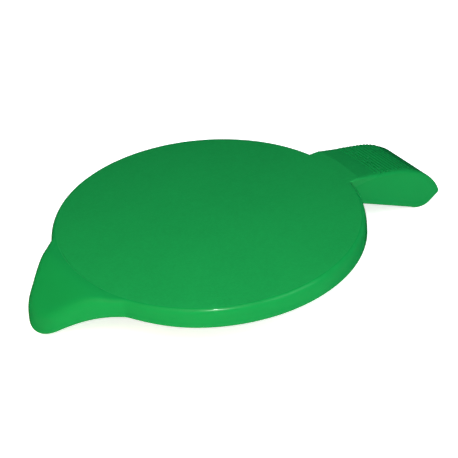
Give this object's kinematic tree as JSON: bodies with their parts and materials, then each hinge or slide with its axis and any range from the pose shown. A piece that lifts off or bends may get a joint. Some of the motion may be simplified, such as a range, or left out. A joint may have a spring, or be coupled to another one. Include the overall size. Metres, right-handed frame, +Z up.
{
  "type": "wasp trap lid",
  "caption": "Green moulded wasp trap lid for a glass or jar: sprung hinged cover with an entry hood and a ribbed thumb lever, over a seated tray with a one-way flap and drop chute.",
  "frame": {"origin": "centre of the base tray's flat underside, on the axis of the round lid", "axes": "+Z up through the lid's round face; +X along the thumb lever, so the hood points to -X"},
  "size_m": [0.1493, 0.1, 0.0219],
  "materials": {
    "cover_plastic": "moulded green polypropylene: fine matt texture on the round face, satin gloss on the rim, hood and lever",
    "tray_plastic": "moulded green polypropylene, matt",
    "clear_plastic": "frosted clear polypropylene",
    "gasket_rubber": "soft black rubber",
    "pin_steel": "drawn steel wire",
    "spring_steel": "drawn spring wire"
  },
  "bodies": {
    "base": {"base_tray": "tray_plastic", "jar_gasket": "gasket_rubber", "hinge_pin": "pin_steel", "torsion_spring": "spring_steel", "entry_chute": "clear_plastic", "flap_pin": "pin_steel"},
    "cover": {"cover_shell": "cover_plastic"},
    "flap": {"entry_flap": "clear_plastic"}
  },
  "joints": [
    {"name": "cover_hinge", "type": "hinge", "parent": "base", "child": "cover", "pos_m": [0.055, 0, 0.0024], "axis": [0, 1, 0], "range_deg": [0, 65], "stiffness_Nm_per_rad": 0.03, "springref_deg": -45.84, "deforming": ["torsion_spring"]},
    {"name": "flap_hinge", "type": "hinge", "parent": "base", "child": "flap", "pos_m": [-0.037, 0, 0.005], "axis": [0, -1, 0], "range_deg": [0, 75]}
  ]
}
